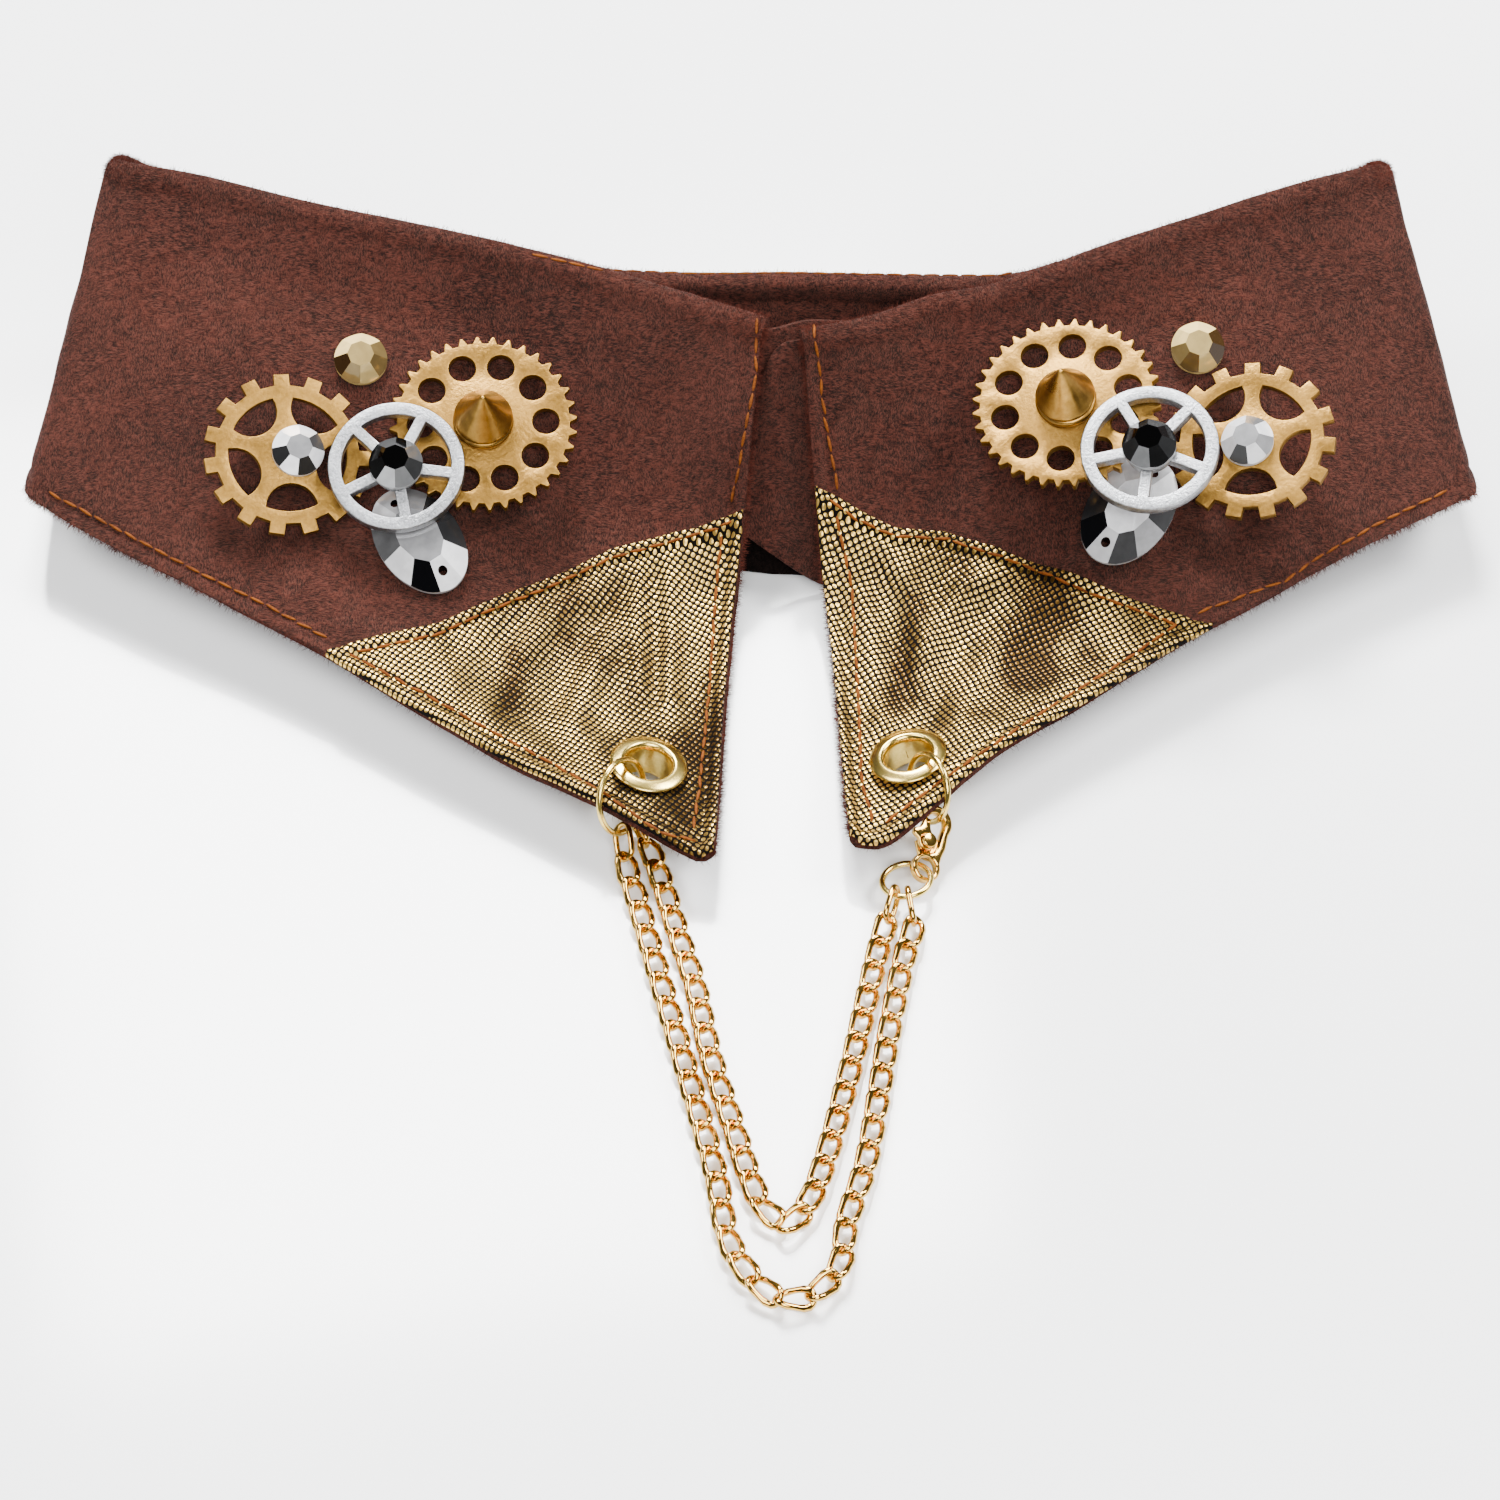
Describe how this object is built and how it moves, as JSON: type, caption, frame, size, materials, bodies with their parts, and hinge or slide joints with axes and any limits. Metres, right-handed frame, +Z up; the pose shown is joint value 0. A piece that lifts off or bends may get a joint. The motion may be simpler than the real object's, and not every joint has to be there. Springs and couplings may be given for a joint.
{
  "type": "detachable collar",
  "caption": "Detachable fabric collar laid closed: neckband, pointed wings with foil tips, applied gears, wheels and stones, and chain strands between the tips.",
  "frame": {"origin": "middle of the footprint on the table, under the middle of the bounding box", "axes": "+X to the right wing, +Y from the chain to the back of the neck, +Z up from the table"},
  "size_m": [0.2226, 0.2011, 0.0435],
  "materials": {
    "suede": "napped, matt",
    "tape": "hook-and-loop, matt",
    "foil": "foil dots on knit, soft sheen",
    "brass": "satin",
    "silver": "satin",
    "pale_gold": "polished",
    "black_stone": "polished facets",
    "silver_stone": "foil-backed polished facets",
    "champagne_stone": "foil-backed polished facets"
  },
  "bodies": {
    "collar": {"collar_leaf": "suede", "neckband": "suede", "hook_and_loop_tape": "tape", "gold_tip_left": "foil", "gold_tip_right": "foil", "eyelet_left": "pale_gold", "eyelet_right": "pale_gold", "big_gear_left": "brass", "small_gear_left": "brass", "oval_stone_left": "silver_stone", "champagne_stone_left": "champagne_stone", "spoked_wheel_left": "silver", "cone_spike_left": "brass", "black_stone_left": "black_stone", "silver_stone_left": "silver_stone", "big_gear_right": "brass", "small_gear_right": "brass", "oval_stone_right": "silver_stone", "champagne_stone_right": "champagne_stone", "spoked_wheel_right": "silver", "cone_spike_right": "brass", "black_stone_right": "black_stone", "silver_stone_right": "silver_stone", "jump_ring_left": "pale_gold", "jump_ring_right": "pale_gold", "jump_ring_lower": "pale_gold", "clasp_body": "pale_gold", "chain_outer": "pale_gold", "chain_inner": "pale_gold"},
    "clasp_lever": {"clasp_lever": "pale_gold"}
  },
  "joints": [
    {"name": "clasp_lever_hinge", "type": "hinge", "parent": "collar", "child": "clasp_lever", "pos_m": [0.02556, -0.02234, 0.0043], "axis": [-0.4438, 0.353, -0.8237], "range_deg": [0, 14], "stiffness_Nm_per_rad": 0.002, "springref_deg": -11.46}
  ]
}
